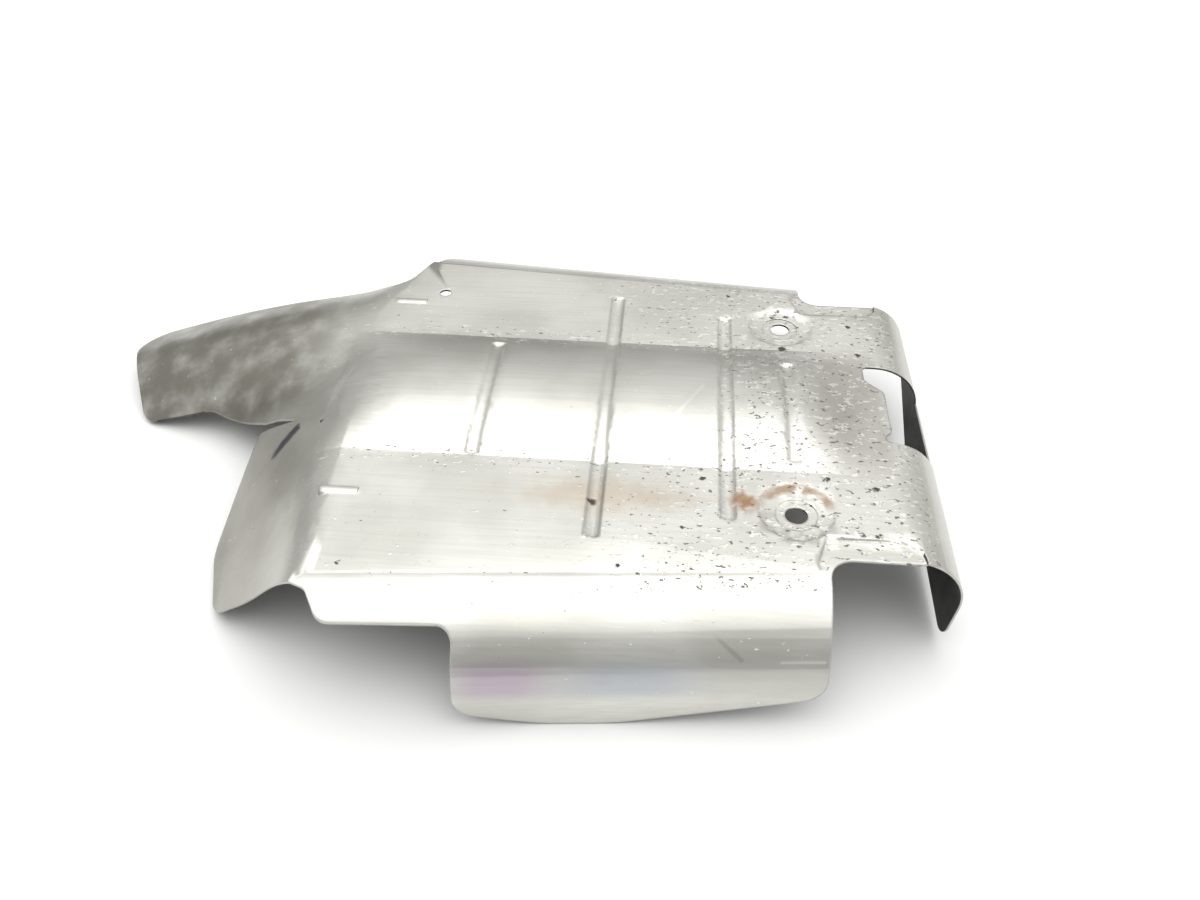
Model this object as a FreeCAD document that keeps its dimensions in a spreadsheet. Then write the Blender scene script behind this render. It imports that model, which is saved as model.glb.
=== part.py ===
import FreeCAD, Part
import math
import os

# Heat shield pressed from one aluminised steel sheet.
# Origin: midpoint of the two bolt holes, level with their washer seats. +X runs along the sheet to the
# folded end, +Y across it to the tongue side, +Z up. All sizes are in millimetres. The sheet is drawn
# from the level of its flat top and is set on the washer seats at the end.
doc = FreeCAD.newDocument("heat_shield")
V = FreeCAD.Vector

dims = doc.addObject("Spreadsheet::Sheet", "dims")
SIZES = (
    ("sheet_thk", 0.8),
    ("floor_drop", 44.0),
    ("form_drop", 54.0),
    ("skirt_half", 118.0),
    ("skirt_round", 33.0),
    ("skirt_left_x", -113.0),
    ("skirt_right_x", 10.0),
    ("short_skirt_trim", 10.0),
    ("step_left_inset", 22.0),
    ("step_right_inset", 37.0),
    ("step_sink", 1.4),
    ("pad_inner", 67.0),
    ("pad_end_x", 42.0),
    ("trough_half_left", 38.5),
    ("trough_half_right", 30.0),
    ("trough_middle", 1.8),
    ("trough_sink", 7.0),
    ("end_x", 59.5),
    ("end_round", 21.0),
    ("end_tuck", 5.0),
    ("end_half", 75.5),
    ("left_bend_x", -165.0),
    ("left_round", 66.0),
    ("tongue_crest_y", 58.0),
    ("tongue_far_y", 79.0),
    ("tongue_tip_x", -308.0),
    ("bolt_half_pitch", 55.8),
    ("bolt_dia", 8.0),
    ("seat_dia", 27.0),
    ("seat_sink", 1.1),
    ("washer_dia", 15.0),
    ("washer_sink", 0.35),
    ("rib_half", 3.2),
    ("rib_rise", 1.3),
    ("bead_round", 2.4),
    ("bead_rise", 0.8),
    ("bead_x", -163.0),
    ("bead_near_y", -57.0),
    ("bead_far_y", 63.0),
    ("bead_half", 7.0),
    ("window_left_x", 32.0),
    ("window_far_y", 30.0),
    ("window_near_y", -16.0),
    ("window_sill", 18.0),
    ("window_tab", 7.0),
    ("locating_dia", 5.0),
)
for row, (alias, value) in enumerate(SIZES, start=1):
    dims.set("A%d" % row, alias)
    dims.set("B%d" % row, str(value))
    dims.setAlias("B%d" % row, alias)
doc.recompute()


def size(alias):
    return float(dims.get(alias))


def smooth(low, high, value):
    part = min(1.0, max(0.0, (value - low) / (high - low)))
    return part * part * (3.0 - 2.0 * part)


def mix(first, second, share):
    return first + (second - first) * share


def add(kind, name, **links):
    item = doc.addObject(kind, name)
    for prop, rule in links.items():
        item.setExpression(prop.replace("_at_", ".Base."), rule)
    return item


def fuse(name, shapes):
    result = doc.addObject("Part::MultiFuse", name)
    result.Shapes = shapes
    return result


def cut(name, base, tools):
    tool = tools[0]
    if len(tools) > 1:
        tool = fuse(name + "_tools", tools)
    result = doc.addObject("Part::Cut", name)
    result.Base = base
    result.Tool = tool
    return result


FLAT = FreeCAD.Rotation()
SIDE = FreeCAD.Rotation(V(1.0, 0.0, 0.0), 90.0)
END = FreeCAD.Rotation(V(1.0, 1.0, 1.0), 120.0)


def outline(name, corners, turn, spot=V()):
    # A closed sketch of straight edges, each corner given as (x, y, rounding radius).
    sketch = doc.addObject("Sketcher::SketchObject", name)
    sketch.Placement = FreeCAD.Placement(spot, turn)
    marks = []
    count = len(corners)
    for k, (x, y, radius) in enumerate(corners):
        here = V(x, y, 0.0)
        back = V(corners[k - 1][0], corners[k - 1][1], 0.0) - here
        ahead = V(corners[(k + 1) % count][0], corners[(k + 1) % count][1], 0.0) - here
        if radius <= 0.0:
            marks.append((here, here, None))
            continue
        half = 0.5 * back.getAngle(ahead)
        back.normalize()
        ahead.normalize()
        first = here + back * (radius / math.tan(half))
        last = here + ahead * (radius / math.tan(half))
        axis = back + ahead
        axis.normalize()
        marks.append((first, last, here + axis * (radius / math.sin(half) - radius)))
    for k in range(count):
        first, last, middle = marks[k]
        if middle is not None:
            sketch.addGeometry(Part.Arc(first, middle, last), False)
        following = marks[(k + 1) % count][0]
        if last.distanceToPoint(following) > 1e-6:
            sketch.addGeometry(Part.LineSegment(last, following), False)
    return sketch


def push(name, sketch, low, high):
    # The sketch pushed along its normal from one level to another.
    prism = doc.addObject("Part::Extrusion", name)
    prism.Base = sketch
    prism.DirMode = "Normal"
    prism.LengthFwd = high
    prism.LengthRev = -low
    prism.Solid = True
    return prism


def loft(name, sketches):
    body = doc.addObject("Part::Loft", name)
    body.Sections = sketches
    body.Solid = True
    body.Ruled = True
    return body


# The left end falls away below the flat top: the near lobe rolls down as a corner, the tongue
# runs on as a falling convex gutter. The surface starts above the top and cuts into it.
def left_height(x, y):
    past = size("left_bend_x") - x
    if past < 0.0:
        return 0.8 - 0.12 * past
    lean = 0.35 * max(0.0, -y) * smooth(0.0, 25.0, past)
    lobe = (past + lean) ** 2 / (2.0 * size("left_round"))
    crest = 38.0 * (past / 145.0) ** 1.7
    crest_y = size("tongue_crest_y")
    if y < crest_y:
        side = 0.15 * past * ((y - crest_y) / 36.0) ** 2
    else:
        side = 6.0 * smooth(0.0, 30.0, past) * ((y - crest_y) / 21.0) ** 2
    fall = mix(lobe, crest + min(side, 40.0), smooth(-10.0, 18.0, y))
    return 0.8 - fall


LEFT_X = (-140.0, -158.0, -172.0, -186.0, -201.0, -218.0, -240.0, -268.0, -300.0, -350.0)
LEFT_Y = (-150.0, -115.0, -88.0, -62.0, -36.0, -14.0, 4.0, 22.0, 42.0, 62.0, 84.0, 150.0)


def left_sky(name, under):
    net = []
    for x in LEFT_X:
        net.append([V(x, y, max(left_height(x, y), -52.0) - under) for y in LEFT_Y])
    knots_u = [float(k) for k in range(len(LEFT_X) - 2)]
    knots_v = [float(k) for k in range(len(LEFT_Y) - 2)]
    mults_u = [4] + [1] * (len(LEFT_X) - 4) + [4]
    mults_v = [4] + [1] * (len(LEFT_Y) - 4) + [4]
    surface = Part.BSplineSurface()
    surface.buildFromPolesMultsKnots(net, mults_u, mults_v, knots_u, knots_v, False, False, 3, 3)
    skin = doc.addObject("Part::Feature", name + "_skin")
    skin.Shape = Part.Face(surface)
    sky = doc.addObject("Part::Extrusion", name)
    sky.Base = skin
    sky.DirMode = "Custom"
    sky.Dir = V(0.0, 0.0, 1.0)
    sky.LengthFwd = 90.0
    sky.Solid = True
    return sky


def trough_half(x):
    share = (x + 163.0) / 196.0
    return mix(size("trough_half_left"), size("trough_half_right"), share)


def trough_arc(x):
    # Radius of an arc with the given half width and sink, from which the trough's cone is laid out.
    half = trough_half(x)
    sink = size("trough_sink")
    return (half * half + sink * sink) / (2.0 * sink)


def trough(name, under):
    # A cone laid on its side. Its floor is deepest at the right and rises towards the left bend.
    left_x = -240.0
    right_x = 75.0
    left_arc = trough_arc(-163.0) + (trough_arc(-163.0) - trough_arc(33.0)) * 77.0 / 196.0
    right_arc = trough_arc(33.0) - (trough_arc(-163.0) - trough_arc(33.0)) * 42.0 / 196.0
    tilt = math.atan((left_arc - right_arc) / (right_x - left_x))
    cone = doc.addObject("Part::Cone", name)
    cone.Radius1 = left_arc * math.cos(tilt)
    cone.Radius2 = right_arc * math.cos(tilt)
    cone.Height = (right_x - left_x) / math.cos(tilt)
    spot = V(left_x, size("trough_middle"), left_arc - size("trough_sink") - under)
    cone.Placement = FreeCAD.Placement(spot, FreeCAD.Rotation(V(0.0, 1.0, 0.0), 90.0 + math.degrees(tilt)))
    return cone


RIBS = (
    ("rib_left", -119.0, 34.5),
    ("rib_long", -71.0, 73.0),
    ("rib_middle", -24.0, 61.0),
    ("rib_right", 1.0, 29.5),
)


def rib(name, x, reach, under):
    # A flat-topped bead with sloping flanks. Its bent middle lies below the trough's floor, and the long
    # ribs show as bars on the flat top.
    wide = size("rib_half") - 0.75 * under
    reach -= under
    low = -under
    rise = size("rib_rise")
    middle = size("trough_middle")
    sink = size("trough_sink")
    arc = mix(trough_arc(-163.0), trough_arc(33.0), (x + 163.0) / 196.0)
    half = math.sqrt(arc * arc - (arc - sink) ** 2)
    near = middle - half
    far = middle + half

    def section(tag, spot, drop):
        shape = (
            (-wide - 1.3, low - drop - 3.0, 0.0),
            (-wide - 1.3, low - drop - 1.0, 0.0),
            (-0.62 * wide, low - drop + 0.72 * rise, 0.0),
            (-0.22 * wide, low - drop + rise, 0.0),
            (0.22 * wide, low - drop + rise, 0.0),
            (0.62 * wide, low - drop + 0.72 * rise, 0.0),
            (wide + 1.3, low - drop - 1.0, 0.0),
            (wide + 1.3, low - drop - 3.0, 0.0),
        )
        return outline(name + tag, shape, SIDE, spot)

    bow = doc.addObject("Part::Revolution", name + "_bow")
    bow.Source = section("_bow_section", V(x, middle, 0.0), sink)
    bow.Axis = V(1.0, 0.0, 0.0)
    bow.Base = V(x, middle, arc - sink)
    bow.Angle = 2.0 * math.degrees(math.asin(min(reach, half + 0.3) / arc))
    bow.Symmetric = True
    bow.Solid = True
    pieces = [bow]
    if reach > half:
        for side, sign, edge in (("near", -1.0, near), ("far", 1.0, far)):
            flat = section("_%s_section" % side, V(x, sign * reach, 0.0), 0.0)
            span = reach - abs(edge) + 0.4
            pieces.append(push("%s_%s_bar" % (name, side), flat, min(0.0, sign * span), max(0.0, sign * span)))
    return pieces


def form(tag, under):
    # The solid below one face of the sheet; the lower form lies one sheet thickness inside the upper.
    deep = size("form_drop") + under
    foot = size("skirt_half") - under
    ledge = -size("step_sink") - under
    slope = (size("step_right_inset") - size("step_left_inset")) / 167.0
    skirts = []
    taper = math.degrees(math.atan(slope))
    for side, sign in (("near", -1.0), ("far", 1.0)):
        section = outline("%s_skirt_%s_section" % (tag, side), (
            (sign * foot, -deep, 0.0),
            (sign * foot, ledge, size("skirt_round") - under),
            (-40.0 * sign, ledge, 0.0),
            (-40.0 * sign, -deep, 0.0),
        ), FreeCAD.Rotation(V(0.0, 0.0, 1.0), -sign * taper) * END, V(-76.0, 0.0, 0.0))
        skirts.append(push("%s_skirt_%s" % (tag, side), section, -290.0, 92.0))
    near_end = 5.0
    half_end = size("skirt_half") - size("step_right_inset")
    half_start = half_end + slope * 357.0
    tables = []
    for level, spread in ((-4.0 - under, 4.0), (-under, 0.0)):
        grow = spread * 0.8
        tables.append(outline("%s_table_%d" % (tag, len(tables)), (
            (-350.0, -half_start - grow, 0.0),
            (near_end + grow, -half_end - grow, 0.0),
            (near_end + grow, half_end + grow, 0.0),
            (-350.0, half_start + grow, 0.0),
        ), FLAT, V(0.0, 0.0, level)))
    table = loft(tag + "_table", tables)
    wall = size("end_x") - under
    width = half_end - 0.5
    end = push(tag + "_end", outline(tag + "_end_section", (
        (-20.0, -deep, 0.0),
        (-20.0, -under, 0.0),
        (wall + 0.8, -under, size("end_round") - under),
        (wall - size("end_tuck"), -deep, 0.0),
    ), SIDE), -width, width)
    pads = []
    for side, sign in (("near", -1.0), ("far", 1.0)):
        sections = []
        for level, grow in ((ledge, 0.0), (ledge + 4.0, 2.4)):
            inner = size("pad_inner") - grow
            sections.append(outline("%s_pad_%s_%d" % (tag, side, len(sections)), (
                (-40.0, sign * (half_end + 4.0 - 1.75 * grow), 0.0),
                (4.0 - grow, sign * (half_end + 4.0 - 1.75 * grow), 0.0),
                (10.0 - grow, sign * inner, 0.0),
                (size("pad_end_x") + grow, sign * inner, 8.0),
                (size("pad_end_x") + grow, sign * (size("skirt_half") + 12.0), 0.0),
                (-40.0, sign * (size("skirt_half") + 12.0), 0.0),
            ), FLAT, V(0.0, 0.0, level)))
        pads.append(loft("%s_pad_%s" % (tag, side), sections))
    ended = cut(tag + "_end_padded", end, pads)
    body = fuse(tag + "_body", skirts + [table, ended])
    sky = left_sky(tag + "_left", under)
    bared = cut(tag + "_bared", body, [trough(tag + "_trough", under)])
    bars = []
    for name, x, reach in RIBS:
        bars += rib("%s_%s" % (tag, name), x, reach, under)
    ribbed = fuse(tag + "_ribbed", [bared] + bars)
    return cut(tag + "_form", ribbed, [sky])


outer = form("top", 0.0)
inner = form("under", size("sheet_thk"))

# Bolt seats: a shallow dish with a washer print, sunk into both forms; beads lie near the left bend.
dishes = {"top": [], "under": []}
beads = {"top": [], "under": []}
for side, sign in (("near", "-"), ("far", "")):
    for face, shift in (("top", ""), ("under", " - dims.sheet_thk")):
        dishes[face].append(add(
            "Part::Cone", "seat_%s_%s" % (side, face),
            Radius1="dims.seat_dia / 2 - 1.5",
            Radius2="dims.seat_dia / 2 + 0.7",
            Height="dims.seat_sink + 0.5",
            Placement_at_y="%sdims.bolt_half_pitch" % sign,
            Placement_at_z="-dims.seat_sink%s" % shift,
        ))
        dishes[face].append(add(
            "Part::Cylinder", "washer_%s_%s" % (side, face),
            Radius="dims.washer_dia / 2",
            Height="dims.washer_sink + 1",
            Placement_at_y="%sdims.bolt_half_pitch" % sign,
            Placement_at_z="-dims.seat_sink - dims.washer_sink%s" % shift,
        ))
        bar = add(
            "Part::Cylinder", "bead_%s_%s" % (side, face),
            Radius="dims.bead_round%s" % shift,
            Height="2 * (dims.bead_half%s)" % shift,
            Placement_at_x="dims.bead_x - (dims.bead_half%s)" % shift,
            Placement_at_y="dims.bead_%s_y" % side,
            Placement_at_z="dims.bead_rise - dims.bead_round",
        )
        bar.Placement.Rotation = FreeCAD.Rotation(V(0.0, 1.0, 0.0), 90.0)
        beads[face].append(bar)
outer_pressed = fuse("top_pressed", [cut("top_seated", outer, dishes["top"])] + beads["top"])
inner_pressed = fuse("under_pressed", [cut("under_seated", inner, dishes["under"])] + beads["under"])
blank = cut("blank", outer_pressed, [inner_pressed])

# The outline seen from above: end notches, skirts, near lobe and tongue.
half = size("end_half")
right = size("skirt_right_x")
left = size("skirt_left_x")
short = size("skirt_half") - size("short_skirt_trim")
outside = size("skirt_half") + 22.0
far_y = size("tongue_far_y")
tip = size("tongue_tip_x")
plan = push("plan", outline("plan_outline", (
    (90.0, -half, 0.0),
    (right, -half, 8.0),
    (right, -outside, 0.0),
    (left, -outside, 0.0),
    (left, -short, 5.0),
    (-157.0, -short - 3.0, 6.0),
    (-163.0, -101.0, 4.0),
    (-210.0, -85.0, 12.0),
    (-219.0, -58.0, 25.0),
    (-213.0, -2.0, 2.0),
    (-246.0, 17.0, 15.0),
    (-281.0, 20.0, 11.0),
    (tip, far_y, 15.0),
    (-168.0, far_y, 10.0),
    (-152.0, short + 3.0, 8.0),
    (left, short, 5.0),
    (left, outside, 0.0),
    (right, outside, 0.0),
    (right, half, 8.0),
    (90.0, half, 0.0),
), FLAT), -80.0, 40.0)
trimmed = doc.addObject("Part::Common", "trimmed")
trimmed.Base = blank
trimmed.Tool = plan

# The feet: everything below the floor goes, the skirts and the end flange get shaped lower edges.
floor = add("Part::Box", "floor_cut", Placement_at_z="-dims.floor_drop - 40")
floor.Length = 500.0
floor.Width = 320.0
floor.Height = 40.0
floor.Placement.Base.x = -380.0
floor.Placement.Base.y = -160.0
low = size("floor_drop")
skirt_foot = push("skirt_foot", outline("skirt_foot_edge", (
    (left - 8.0, -80.0, 0.0),
    (left - 8.0, -32.0, 0.0),
    (left, -32.0, 0.0),
    (left, 6.0 - low, 9.0),
    (-84.0, -low, 60.0),
    (-60.0, -low, 60.0),
    (right, 13.0 - low, 9.0),
    (right, -26.0, 0.0),
    (right + 8.0, -26.0, 0.0),
    (right + 8.0, -80.0, 0.0),
), SIDE), -160.0, 160.0)
end_foot = push("end_foot", outline("end_foot_edge", (
    (-half - 10.0, -80.0, 0.0),
    (-half - 10.0, -24.0, 0.0),
    (-half, -24.0, 0.0),
    (-half, -41.0, 7.0),
    (20.0, -37.0, 30.0),
    (half - 12.0, -24.0, 10.0),
    (half, -12.0, 0.0),
    (half + 10.0, -12.0, 0.0),
    (half + 10.0, -80.0, 0.0),
), END), 44.0, 100.0)

# The window over the end bend keeps a tab on its left edge.
window_x = size("window_left_x")
window_far = size("window_far_y")
window_near = size("window_near_y")
tab = size("window_tab")
window = push("window", outline("window_edge", (
    (90.0, window_near, 0.0),
    (window_x, window_near, 2.5),
    (window_x + tab, window_near + 6.0, 3.0),
    (window_x + tab, window_far - 16.0, 3.0),
    (window_x, window_far - 9.0, 3.0),
    (window_x, window_far, 2.0),
    (90.0, window_far, 0.0),
), FLAT), -size("window_sill"), 20.0)
slit = push("relief_slit", outline("relief_slit_edge", (
    (-217.0, -6.0, 0.0),
    (-205.0, -8.5, 0.0),
    (-194.0, -11.0, 0.0),
    (-205.0, -5.0, 0.0),
    (-217.0, -1.0, 0.0),
), FLAT), -60.0, 20.0)
holes = []
for side, sign in (("near", "-"), ("far", "")):
    hole = add(
        "Part::Cylinder", "bolt_hole_" + side,
        Radius="dims.bolt_dia / 2",
        Placement_at_y="%sdims.bolt_half_pitch" % sign,
    )
    hole.Height = 40.0
    hole.Placement.Base.z = -20.0
    holes.append(hole)
locating = add("Part::Cylinder", "locating_hole", Radius="dims.locating_dia / 2")
locating.Height = 60.0
locating.Placement.Base = V(-149.0, 70.5, -40.0)
heat_shield = cut("heat_shield", trimmed, [floor, skirt_foot, end_foot, window, slit, locating] + holes)
heat_shield.Label = "heat_shield"
heat_shield.setExpression("Placement.Base.z", "dims.seat_sink + dims.washer_sink")
doc.recompute()

# Every feature has to be sound, and the sheet one closed piece, before its file is written.
for item in doc.Objects:
    if "Invalid" in item.State or "Error" in item.State:
        raise RuntimeError("%s failed" % item.Name)
    if hasattr(item, "Shape") and (item.Shape.isNull() or not item.Shape.isValid()):
        raise RuntimeError("%s has no sound shape" % item.Name)
os.makedirs("parts", exist_ok=True)
heat_shield.Shape.exportStep("parts/heat_shield.step")
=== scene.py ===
import math

import bmesh
import bpy
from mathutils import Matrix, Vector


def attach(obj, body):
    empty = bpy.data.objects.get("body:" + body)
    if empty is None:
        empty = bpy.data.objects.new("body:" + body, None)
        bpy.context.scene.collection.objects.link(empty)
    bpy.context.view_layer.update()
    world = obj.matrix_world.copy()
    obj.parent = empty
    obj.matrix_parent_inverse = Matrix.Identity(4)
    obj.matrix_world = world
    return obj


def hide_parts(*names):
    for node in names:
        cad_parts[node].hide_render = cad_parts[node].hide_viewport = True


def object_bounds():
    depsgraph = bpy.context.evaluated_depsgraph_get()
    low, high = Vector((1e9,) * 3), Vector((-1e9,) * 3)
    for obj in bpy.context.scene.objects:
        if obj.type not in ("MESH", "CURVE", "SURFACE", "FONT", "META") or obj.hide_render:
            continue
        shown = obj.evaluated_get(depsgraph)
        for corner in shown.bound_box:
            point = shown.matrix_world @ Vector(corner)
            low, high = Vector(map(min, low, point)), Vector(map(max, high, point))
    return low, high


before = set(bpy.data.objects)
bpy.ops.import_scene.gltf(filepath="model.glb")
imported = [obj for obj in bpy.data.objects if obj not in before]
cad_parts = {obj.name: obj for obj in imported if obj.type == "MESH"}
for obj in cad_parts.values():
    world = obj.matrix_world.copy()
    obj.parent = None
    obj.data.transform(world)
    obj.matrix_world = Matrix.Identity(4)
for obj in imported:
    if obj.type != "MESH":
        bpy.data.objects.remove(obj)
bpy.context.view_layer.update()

# The pressed sheet: one blank of thin aluminised steel, drawn in a press and trimmed. The solid gives
# its outline, skirts, folds and holes. Its middle form, a shallow hollow there, is raised here into the
# low round ridge with grooves across it that the highlights show. Sizes are in mm.
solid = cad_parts["heat_shield"]
top_level = 1.45
sheet_thick = 0.8
ridge_rise = 2.5
ridge_middle_y = 1.8
ridge_left_x = -163.0
ridge_right_x = 33.0
ridge_left_half = 38.5
ridge_right_half = 30.0
bend_x = -165.0
hollow_deep = 2.46
hollow_run = 19.0
roll_x = 36.8
roll_radius = 21.0
groove_deep = 1.3
grooves = ((-119.0, 34.5), (-71.0, 73.0), (-24.0, 61.0), (1.0, 29.5))


def clamped(value):
    return min(1.0, max(0.0, value))


def even_level(x, y, z):
    # The height of the top without its hollow: the left bend, the flat top, then the roll at the end.
    if x < bend_x:
        hollow = hollow_deep * (1.0 - (bend_x - x) / hollow_run) - (y - ridge_middle_y) ** 2 / 220.0
        return z + max(0.0, hollow)
    past = max(0.0, x - roll_x)
    return top_level - roll_radius + math.sqrt(roll_radius ** 2 - past ** 2)


def ridge_height(x, y):
    # Round across, rising out of the left bend and running out flat before the end roll.
    share = (x - ridge_left_x) / (ridge_right_x - ridge_left_x)
    half = ridge_left_half + (ridge_right_half - ridge_left_half) * share
    across = 1.0 - ((y - ridge_middle_y) / half) ** 2
    rising = math.sin(0.5 * math.pi * clamped((x + 182.0) / 32.0))
    return ridge_rise * max(0.0, across) * rising * clamped((30.0 - x) / 34.0)


def groove_depth(x, y):
    # A flat floor, a gentle shoulder and a steep flank, closed over a short run at both ends.
    deepest = 0.0
    for groove_x, reach in grooves:
        off = abs(x - groove_x)
        share = 0.72 * clamped((3.3 - off) / 1.3)
        if off < 2.0:
            share = clamped(1.0 - 0.28 * (off - 0.8) / 1.2)
        deepest = max(deepest, groove_deep * share * clamped((reach - abs(y)) / 1.2))
    return deepest


shape = bmesh.new()
shape.from_mesh(solid.data)
bmesh.ops.remove_doubles(shape, verts=shape.verts, dist=1e-6)
lines_x = list(range(-196, 47, 7))
lines_y = list(range(-40, 45, 4))
for groove_x, reach in grooves:
    lines_x += [groove_x + off for off in (-3.3, -2.0, -0.8, 0.8, 2.0, 3.3)]
    lines_y += [-reach, 1.2 - reach, reach - 1.2, reach]
cuts = [((0.001 * at, 0.0, 0.0), (1.0, 0.0, 0.0)) for at in lines_x]
cuts += [((0.0, 0.001 * at, 0.0), (0.0, 1.0, 0.0)) for at in lines_y]
for point, normal in cuts:
    top = [f for f in shape.faces if abs(f.verts[0].co.y) < 0.080 and f.verts[0].co.z > -0.010]
    edged = {part for face in top for part in (*face.verts, *face.edges)}
    bmesh.ops.bisect_plane(shape, geom=[*top, *edged], plane_co=point, plane_no=normal, dist=1e-6)
shape.normal_update()
for vertex in shape.verts:
    x, y, z = (1000.0 * value for value in vertex.co)
    on_form = -197.0 < x < 46.0 and abs(y - ridge_middle_y) < 39.0
    on_groove = any(abs(x - at) < 4.6 and abs(y) < reach + 0.5 for at, reach in grooves)
    if z > -9.0 and (on_form or on_groove):
        thick = 0.0 if vertex.normal.z > 0.0 else sheet_thick
        level = even_level(x, y, z + thick)
        if level - z - thick < 5.0:
            vertex.co.z = 0.001 * (level + ridge_height(x, y) - groove_depth(x, y) - thick)
    elif x < -130.0:
        thick = 0.0 if vertex.normal.z > 0.0 else sheet_thick
        vertex.co.z -= 0.0005 * max(0.0, z + thick - top_level)
bmesh.ops.dissolve_degenerate(shape, dist=1e-6, edges=shape.edges)
bmesh.ops.triangulate(shape, faces=shape.faces)
skin_mesh = bpy.data.meshes.new("pressed_sheet")
shape.to_mesh(skin_mesh)
shape.free()
skin_mesh.shade_smooth()
skin_mesh.set_sharp_from_angle(angle=math.radians(26.0))
sheet = bpy.data.objects.new("pressed_sheet", skin_mesh)
bpy.context.scene.collection.objects.link(sheet)
even = sheet.modifiers.new("even_faces", "WEIGHTED_NORMAL")
even.keep_sharp = True
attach(sheet, "root")
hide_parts("heat_shield")

# The finish: satin grey coating, a little warm, on every face of the sheet. Each mark is placed in
# millimetres from the middle of the two bolt holes, so that it stays where the wear is.
metal = bpy.data.materials.new("aluminised_sheet")
metal.use_nodes = True
tree = metal.node_tree
tree.nodes.clear()


def step(tree, kind, feeds=(), **settings):
    # Adds a node, sets its options, then links or fills its inputs in order.
    node = tree.nodes.new(kind)
    for name, value in settings.items():
        setattr(node, name, value)
    for index, feed in enumerate(feeds):
        if isinstance(feed, bpy.types.NodeSocket):
            tree.links.new(feed, node.inputs[index])
        elif feed is not None:
            node.inputs[index].default_value = feed
    return node


def sums(tree, operation, first, second=None, third=None):
    return step(tree, "ShaderNodeMath", (first, second, third), operation=operation).outputs[0]


def times(first, second):
    return sums(tree, "MULTIPLY", first, second)


def ramp(tree, value, low, high):
    # 0 at the low value and 1 at the high one, with a smooth change between them.
    return step(tree, "ShaderNodeMapRange", (value, low, high), interpolation_type="SMOOTHSTEP").outputs[0]


def noise(scale, detail, where):
    node = step(tree, "ShaderNodeTexNoise", (where,))
    node.inputs["Scale"].default_value = scale
    node.inputs["Detail"].default_value = detail
    return node.outputs[0]


def blend(share, first, second):
    node = step(tree, "ShaderNodeMix", data_type="RGBA")
    for socket, feed in ((node.inputs[0], share), (node.inputs[6], first), (node.inputs[7], second)):
        if isinstance(feed, bpy.types.NodeSocket):
            tree.links.new(feed, socket)
        else:
            socket.default_value = feed
    return node.outputs[2]


spot = tree.nodes.new("ShaderNodeTexCoord").outputs["Object"]
place = step(tree, "ShaderNodeVectorMath", (spot,), operation="SCALE")
place.inputs["Scale"].default_value = 1000.0
place = place.outputs[0]
x, y, z = step(tree, "ShaderNodeSeparateXYZ", (place,)).outputs
flat = times(ramp(tree, z, -3.0, -1.0), ramp(tree, x, -205.0, -165.0))
off_middle = sums(tree, "ABSOLUTE", sums(tree, "SUBTRACT", y, ridge_middle_y))
on_ridge = times(ramp(tree, off_middle, 36.0, 31.0), ramp(tree, x, -15.0, -40.0))
near_skirt = ramp(tree, y, -88.0, -100.0)
tongue = times(ramp(tree, x, -165.0, -215.0), ramp(tree, y, -22.0, 12.0))

coating = (0.60, 0.595, 0.55, 1.0)
coating_pale = (0.70, 0.695, 0.655, 1.0)
drawn_grey = (0.47, 0.465, 0.43, 1.0)
tongue_shade_grey = (0.20, 0.19, 0.155, 1.0)
shade_and_stain_grey = (0.34, 0.325, 0.285, 1.0)
cloud = noise(0.022, 4.0, place)
mottle = noise(0.07, 5.0, place)
drawn_out = step(tree, "ShaderNodeMapping", (place,))
drawn_out.inputs["Scale"].default_value = (0.03, 0.9, 0.9)
drawing = noise(1.0, 2.0, drawn_out.outputs[0])
tone = blend(ramp(tree, cloud, 0.35, 0.65), coating, coating_pale)
tone = blend(times(ramp(tree, drawing, 0.35, 0.75), 0.25), tone, drawn_grey)
# Painted shade on the tongue, mottled, where it slopes away from the light.
tone = blend(times(times(tongue, ramp(tree, mottle, 0.05, 0.65)), 0.9), tone, tongue_shade_grey)
# Painted shade on the left lobe and the end roll, where they turn away from the light, and a darker, browner
# grey right of the ridge's run-out.
lobe = times(ramp(tree, x, -160.0, -195.0), ramp(tree, y, 10.0, -15.0))
end_roll = ramp(tree, x, 30.0, 46.0)
run_out = times(ramp(tree, x, 4.0, 20.0), ramp(tree, x, 42.0, 34.0))
run_out = times(run_out, ramp(tree, off_middle, 42.0, 26.0))
shade_and_stain = sums(tree, "MAXIMUM", lobe, sums(tree, "MAXIMUM", times(end_roll, 0.35), times(run_out, 0.9)))
tone = blend(times(shade_and_stain, sums(tree, "ADD", 0.35, times(mottle, 0.6))), tone, shade_and_stain_grey)

# Heat tint and painted shade: a band along the near skirt, greyed all along with painted shade, with the
# temper colour that the hot pipe has left, purple at its left end and bluish in the middle.
skirt_shade_grey = (0.42, 0.405, 0.39, 1.0)
tint_purple = (0.42, 0.30, 0.45, 1.0)
tint_blue = (0.33, 0.38, 0.48, 1.0)
band = times(times(ramp(tree, z, -31.0, -24.0), ramp(tree, z, -12.0, -19.0)), near_skirt)
purple = times(band, ramp(tree, sums(tree, "ABSOLUTE", sums(tree, "ADD", x, 97.0)), 22.0, 4.0))
blue = times(band, ramp(tree, sums(tree, "ABSOLUTE", sums(tree, "ADD", x, 55.0)), 36.0, 6.0))
# Painted shade: the grey laid over the whole band.
tone = blend(times(band, 0.40), tone, skirt_shade_grey)
tone = blend(times(purple, 0.50), tone, tint_purple)
tone = blend(times(blue, 0.40), tone, tint_blue)

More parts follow.
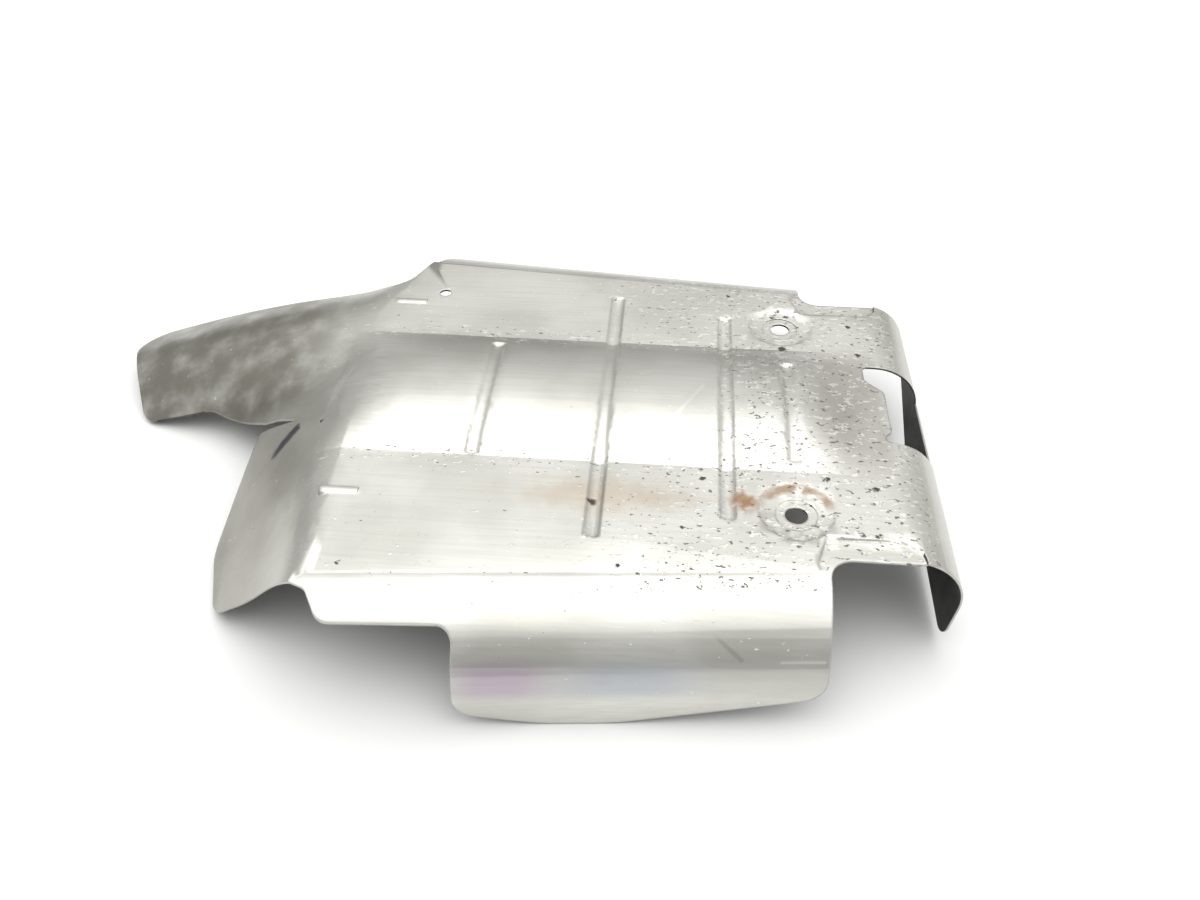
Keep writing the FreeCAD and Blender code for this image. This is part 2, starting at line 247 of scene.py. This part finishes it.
# Pits and flakes: noise drawn out along the sheet and cut off at a level, so that only its peaks show.
# They are thickest on the right half of the top and along the ridge's feet, and few on the ridge.
flecks = bpy.data.node_groups.new("flecks", "ShaderNodeTree")
for name, kind in (("Place", "Vector"), ("Scale", "Float"), ("Level", "Float")):
    flecks.interface.new_socket(name, in_out="INPUT", socket_type="NodeSocket" + kind)
flecks.interface.new_socket("Mask", in_out="OUTPUT", socket_type="NodeSocketFloat")
entry = flecks.nodes.new("NodeGroupInput")
stretched = step(flecks, "ShaderNodeMapping", (entry.outputs["Place"],))
stretched.inputs["Rotation"].default_value = (0.0, 0.0, math.radians(10.0))
stretched.inputs["Scale"].default_value = (0.58, 1.0, 1.0)
grain = step(flecks, "ShaderNodeTexNoise", (stretched.outputs[0],))
grain.inputs["Detail"].default_value = 3.0
grain.inputs["Roughness"].default_value = 0.6
flecks.links.new(entry.outputs["Scale"], grain.inputs["Scale"])
above = sums(flecks, "SUBTRACT", grain.outputs[0], entry.outputs["Level"])
flecks.links.new(ramp(flecks, above, 0.0, 0.035), flecks.nodes.new("NodeGroupOutput").inputs["Mask"])

pit_dark = (0.07, 0.062, 0.05, 1.0)
flake_pale = (0.92, 0.91, 0.88, 1.0)
at_feet = ramp(tree, sums(tree, "ABSOLUTE", sums(tree, "SUBTRACT", off_middle, 38.0)), 14.0, 2.0)
worn = sums(tree, "MAXIMUM", ramp(tree, x, -130.0, -20.0), times(at_feet, 0.85))
worn = sums(tree, "MAXIMUM", worn, 0.30)
worn = times(worn, sums(tree, "SUBTRACT", 1.0, times(on_ridge, 0.95)))
worn = times(worn, sums(tree, "MAXIMUM", flat, 0.15))
pits = step(tree, "ShaderNodeGroup", node_tree=flecks)
tree.links.new(place, pits.inputs["Place"])
pits.inputs["Scale"].default_value = 0.60
tree.links.new(sums(tree, "SUBTRACT", 0.74, times(worn, 0.12)), pits.inputs["Level"])
flakes = step(tree, "ShaderNodeGroup", node_tree=flecks)
elsewhere = step(tree, "ShaderNodeVectorMath", (place, (41.0, 17.0, 5.0)), operation="ADD")
tree.links.new(elsewhere.outputs[0], flakes.inputs["Place"])
flakes.inputs["Scale"].default_value = 0.5
tree.links.new(sums(tree, "SUBTRACT", 0.70, times(worn, 0.12)), flakes.inputs["Level"])
tone = blend(times(flakes.outputs[0], 0.50), tone, flake_pale)
tone = blend(times(pits.outputs[0], 0.80), tone, pit_dark)

# Rust: water held under the washer has rusted the steel round the near bolt seat. A patch left of the
# seat joins an arc over it, and a thin brown film runs on to the left.
rust_brown = (0.30, 0.15, 0.055, 1.0)
film_brown = (0.47, 0.36, 0.25, 1.0)
ragged = noise(0.14, 5.0, place)
torn = times(sums(tree, "SUBTRACT", ragged, 0.5), 14.0)


def away_from(centre, where):
    return step(tree, "ShaderNodeVectorMath", (where, centre), operation="DISTANCE").outputs["Value"]


ring = sums(tree, "SUBTRACT", sums(tree, "ADD", away_from((0.0, -56.0, 1.0), place), times(torn, 0.35)), 13.0)
arc = times(ramp(tree, sums(tree, "ABSOLUTE", ring), 2.6, 0.4), ramp(tree, y, -55.0, -49.0))
patch = ramp(tree, sums(tree, "ADD", away_from((-18.5, -51.5, 1.0), place), torn), 7.0, 2.5)
rust = times(sums(tree, "MAXIMUM", times(arc, 0.75), patch), ramp(tree, ragged, 0.25, 0.55))
narrowed = step(tree, "ShaderNodeMapping", (place,))
narrowed.inputs["Scale"].default_value = (0.28, 1.0, 1.0)
film = ramp(tree, sums(tree, "ADD", away_from((-19.0, -52.0, 1.0), narrowed.outputs[0]), torn), 13.0, 2.0)
tone = blend(times(times(film, flat), 0.45), tone, film_brown)
tone = blend(times(rust, 0.9), tone, rust_brown)

# Dirt spots: drops of oil and road dirt burnt on to the sheet, each a small dark blot with an uneven
# edge, lying where it is seen on the top.
dot = bpy.data.node_groups.new("dot", "ShaderNodeTree")
for name, kind in (("Place", "Vector"), ("Centre", "Vector"), ("Radius", "Float")):
    dot.interface.new_socket(name, in_out="INPUT", socket_type="NodeSocket" + kind)
dot.interface.new_socket("Mask", in_out="OUTPUT", socket_type="NodeSocketFloat")
entry = dot.nodes.new("NodeGroupInput")
ends = (entry.outputs["Place"], entry.outputs["Centre"])
apart = step(dot, "ShaderNodeVectorMath", ends, operation="DISTANCE").outputs["Value"]
share = sums(dot, "DIVIDE", apart, entry.outputs["Radius"])
dot.links.new(ramp(dot, share, 1.15, 0.6), dot.nodes.new("NodeGroupOutput").inputs["Mask"])

spot_black = (0.03, 0.027, 0.022, 1.0)
dirt_spots = (
    (-72.0, -55.0, 1.4, 2.2), (0.0, 40.0, 1.4, 1.9), (31.0, 38.0, 1.4, 1.5), (29.0, -42.0, 1.4, 1.4),
    (27.0, -65.0, 1.0, 1.3), (22.0, -65.0, 1.0, 1.1), (29.0, 58.0, 1.4, 1.4), (-22.0, 78.0, 1.4, 1.2),
    (-154.0, -91.0, 1.0, 1.2), (-182.0, -17.0, -1.5, 1.3), (-61.0, -85.0, 1.4, 0.9), (12.0, -38.0, 1.4, 1.2),
    (-40.0, -66.0, 1.4, 0.9), (-3.0, 64.0, 0.4, 1.2), (3.0, 65.0, 0.4, 1.1), (-33.0, -41.0, 1.4, 1.1),
)
wobble = times(sums(tree, "SUBTRACT", noise(0.5, 3.0, place), 0.5), 3.0)
uneven = step(tree, "ShaderNodeVectorMath", (place, wobble), operation="ADD").outputs[0]
spots = 0.0
for spot_x, spot_y, spot_z, spot_radius in dirt_spots:
    mark = step(tree, "ShaderNodeGroup", (uneven, (spot_x, spot_y, spot_z), spot_radius), node_tree=dot)
    spots = sums(tree, "MAXIMUM", spots, mark.outputs[0])
tone = blend(times(spots, 0.95), tone, spot_black)

# Scratches and painted shadow: a long pale line over the ridge, two scratches on the near skirt, a short dark
# one and a white one, and a broad blue-black smear of painted shadow at the inner corner between the tongue
# and the left lobe.
scratch_and_shadow_line = bpy.data.node_groups.new("scratch_and_shadow_line", "ShaderNodeTree")
for name, kind in (("Place", "Vector"), ("Start", "Vector"), ("Run", "Vector"), ("Width", "Float")):
    scratch_and_shadow_line.interface.new_socket(name, in_out="INPUT", socket_type="NodeSocket" + kind)
scratch_and_shadow_line.interface.new_socket("Mask", in_out="OUTPUT", socket_type="NodeSocketFloat")
entry = scratch_and_shadow_line.nodes.new("NodeGroupInput")
run = entry.outputs["Run"]
ends = (entry.outputs["Place"], entry.outputs["Start"])
away = step(scratch_and_shadow_line, "ShaderNodeVectorMath", ends, operation="SUBTRACT").outputs[0]
along = step(scratch_and_shadow_line, "ShaderNodeVectorMath", (away, run), operation="DOT_PRODUCT").outputs["Value"]
square = step(scratch_and_shadow_line, "ShaderNodeVectorMath", (run, run), operation="DOT_PRODUCT").outputs["Value"]
part = step(scratch_and_shadow_line, "ShaderNodeClamp", (sums(scratch_and_shadow_line, "DIVIDE", along, square), 0.0, 1.0)).outputs[0]
foot = step(scratch_and_shadow_line, "ShaderNodeVectorMath", (run,), operation="SCALE")
scratch_and_shadow_line.links.new(part, foot.inputs["Scale"])
gap = step(scratch_and_shadow_line, "ShaderNodeVectorMath", (away, foot.outputs[0]), operation="DISTANCE").outputs["Value"]
width = sums(scratch_and_shadow_line, "DIVIDE", gap, entry.outputs["Width"])
scratch_and_shadow_line.links.new(ramp(scratch_and_shadow_line, width, 1.2, 0.4), scratch_and_shadow_line.nodes.new("NodeGroupOutput").inputs["Mask"])

for where, start, run, width, strength, colour in (
    (place, (-52.0, -24.0, 3.0), (19.0, 34.0, 0.0), 1.2, 0.40, (0.90, 0.89, 0.86, 1.0)),
    (place, (-31.0, -103.0, -6.0), (12.0, -5.0, -9.0), 0.9, 0.40, (0.30, 0.29, 0.27, 1.0)),
    (place, (-6.0, -107.0, -16.0), (14.0, 1.2, 0.0), 0.7, 0.45, (0.95, 0.94, 0.92, 1.0)),
    # Painted shadow: the dark smear at the inner corner of the tongue and the left lobe.
    (uneven, (-200.5, -26.0, -12.0), (8.0, 10.0, 4.2), 2.6, 0.85, (0.025, 0.03, 0.05, 1.0)),
):
    line = step(tree, "ShaderNodeGroup", (where, start, run, width), node_tree=scratch_and_shadow_line)
    tone = blend(times(line.outputs[0], strength), tone, colour)

# The inner face: the side turned to the hot pipe, left as pressed and darkened with painted shade. A face is
# an inner one where it looks towards the middle of the space below the sheet.
painted_inner_shade = (0.055, 0.055, 0.048, 1.0)
from_below = step(tree, "ShaderNodeVectorMath", (place, (-60.0, 0.0, -80.0)), operation="SUBTRACT").outputs[0]
facing = tree.nodes.new("ShaderNodeNewGeometry").outputs["True Normal"]
outward = step(tree, "ShaderNodeVectorMath", (from_below, facing), operation="DOT_PRODUCT").outputs["Value"]
inner = ramp(tree, outward, 2.0, -2.0)
tone = blend(times(inner, sums(tree, "ADD", 0.72, times(mottle, 0.35))), tone, painted_inner_shade)

# The surface: satin metal, rougher on rust, pits and the shaded inner face, with softened bends and shallow
# dents. The ridge's rounding is carried on in the shading, to the height that its highlight shows.
shaded_rise = 5.0
round_share = sums(tree, "SUBTRACT", 1.0, sums(tree, "POWER", sums(tree, "DIVIDE", off_middle, 37.0), 2.0))
ridge_span = times(ramp(tree, x, -190.0, -150.0), ramp(tree, x, 30.0, -5.0))
rounding = times(times(sums(tree, "MAXIMUM", round_share, 0.0), ridge_span), 0.001 * shaded_rise)
dirt = sums(tree, "MAXIMUM", sums(tree, "MAXIMUM", rust, spots), pits.outputs[0])
rough = sums(tree, "ADD", 0.27, times(cloud, 0.12))
rough = sums(tree, "ADD", rough, times(sums(tree, "MAXIMUM", dirt, times(inner, 0.8)), 0.35))
soft_bend = step(tree, "ShaderNodeBevel", (0.0012,), samples=6)


def bump(height, strength, distance, normal):
    node = tree.nodes.new("ShaderNodeBump")
    node.inputs["Strength"].default_value = strength
    node.inputs["Distance"].default_value = distance
    tree.links.new(height, node.inputs["Height"])
    tree.links.new(normal, node.inputs["Normal"])
    return node.outputs[0]


rounded = bump(rounding, 1.0, 1.0, soft_bend.outputs[0])
dented = bump(noise(0.026, 1.0, place), 0.30, 0.0016, rounded)
fine = sums(tree, "SUBTRACT", times(mottle, 0.30), times(dirt, 0.7))
fine = sums(tree, "ADD", fine, times(flakes.outputs[0], 0.5))
pitted = bump(fine, 0.55, 0.0004, dented)
skin = tree.nodes.new("ShaderNodeBsdfPrincipled")
tree.links.new(tone, skin.inputs["Base Color"])
tree.links.new(rough, skin.inputs["Roughness"])
tree.links.new(sums(tree, "SUBTRACT", 0.95, times(dirt, 0.75)), skin.inputs["Metallic"])
tree.links.new(pitted, skin.inputs["Normal"])
surface = tree.nodes.new("ShaderNodeOutputMaterial")
tree.links.new(skin.outputs[0], surface.inputs["Surface"])
skin_mesh.materials.append(metal)

# The floor: a plain pale sheet of studio paper. The part stands loose on it, on the lowest edge of its
# skirts and its tongue.
floor_half = 12.0
floor_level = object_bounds()[0].z - 0.0002
floor_mesh = bpy.data.meshes.new("studio_floor")
floor_corners = [
    (side_x * floor_half, side_y * floor_half, floor_level)
    for side_x, side_y in ((-1, -1), (1, -1), (1, 1), (-1, 1))
]
floor_mesh.from_pydata(floor_corners, [], [(0, 1, 2, 3)])
floor = bpy.data.objects.new("studio_floor", floor_mesh)
bpy.context.scene.collection.objects.link(floor)
paper = bpy.data.materials.new("studio_paper")
paper.use_nodes = True
paper_finish = paper.node_tree.nodes["Principled BSDF"]
paper_finish.inputs["Base Color"].default_value = (0.90, 0.905, 0.90, 1.0)
paper_finish.inputs["Roughness"].default_value = 0.9
floor_mesh.materials.append(paper)

# Light: a pale room that fades towards the horizon and behind the camera, under a wide bright ceiling.
# Only the ceiling is bright enough to burn out the near edge of the top and the ridge's near side.
room = bpy.data.worlds.new("pale_room")
bpy.context.scene.world = room
room.use_nodes = True
air = room.node_tree
sky_x, sky_y, sky_z = step(
    air, "ShaderNodeSeparateXYZ", (air.nodes.new("ShaderNodeTexCoord").outputs["Generated"],)
).outputs
leaning = sums(air, "MULTIPLY_ADD", sky_x, 0.15, sky_z)
behind = ramp(air, sky_y, -0.15, -0.65)
wall = sums(air, "MULTIPLY", ramp(air, leaning, -0.05, 0.55), sums(air, "MULTIPLY_ADD", behind, -0.6, 1.0))
glow = sums(air, "MULTIPLY_ADD", wall, 0.55, 0.36)
glow = sums(air, "MULTIPLY_ADD", ramp(air, sky_z, 0.69, 0.81), 1.05, glow)
sky = air.nodes["Background"]
sky.inputs["Color"].default_value = (1.0, 1.0, 0.99, 1.0)
air.links.new(glow, sky.inputs["Strength"])
soft_box = bpy.data.lights.new("soft_box", "AREA")
soft_box.energy = 1.5
soft_box.size = 1.4
hung = bpy.data.objects.new("soft_box", soft_box)
hung.location = (-0.1, 0.1, 1.3)
bpy.context.scene.collection.objects.link(hung)

# Camera: at the photograph's angle, high on the near side and a little left of the middle, with a wide
# lens held close, so that the near skirt looks larger than the far one.
lens = bpy.data.cameras.new("photo_camera")
lens.sensor_width = 36.0
lens.lens = 30.0
lens.clip_start = 0.01
camera = bpy.data.objects.new("photo_camera", lens)
camera.location = (-0.0493, -0.304, 0.252 + 0.001 * top_level)
camera.rotation_euler = (math.radians(47.6), 0.0, math.radians(4.56))
bpy.context.scene.collection.objects.link(camera)
bpy.context.scene.camera = camera
bpy.context.scene.view_settings.view_transform = "Standard"
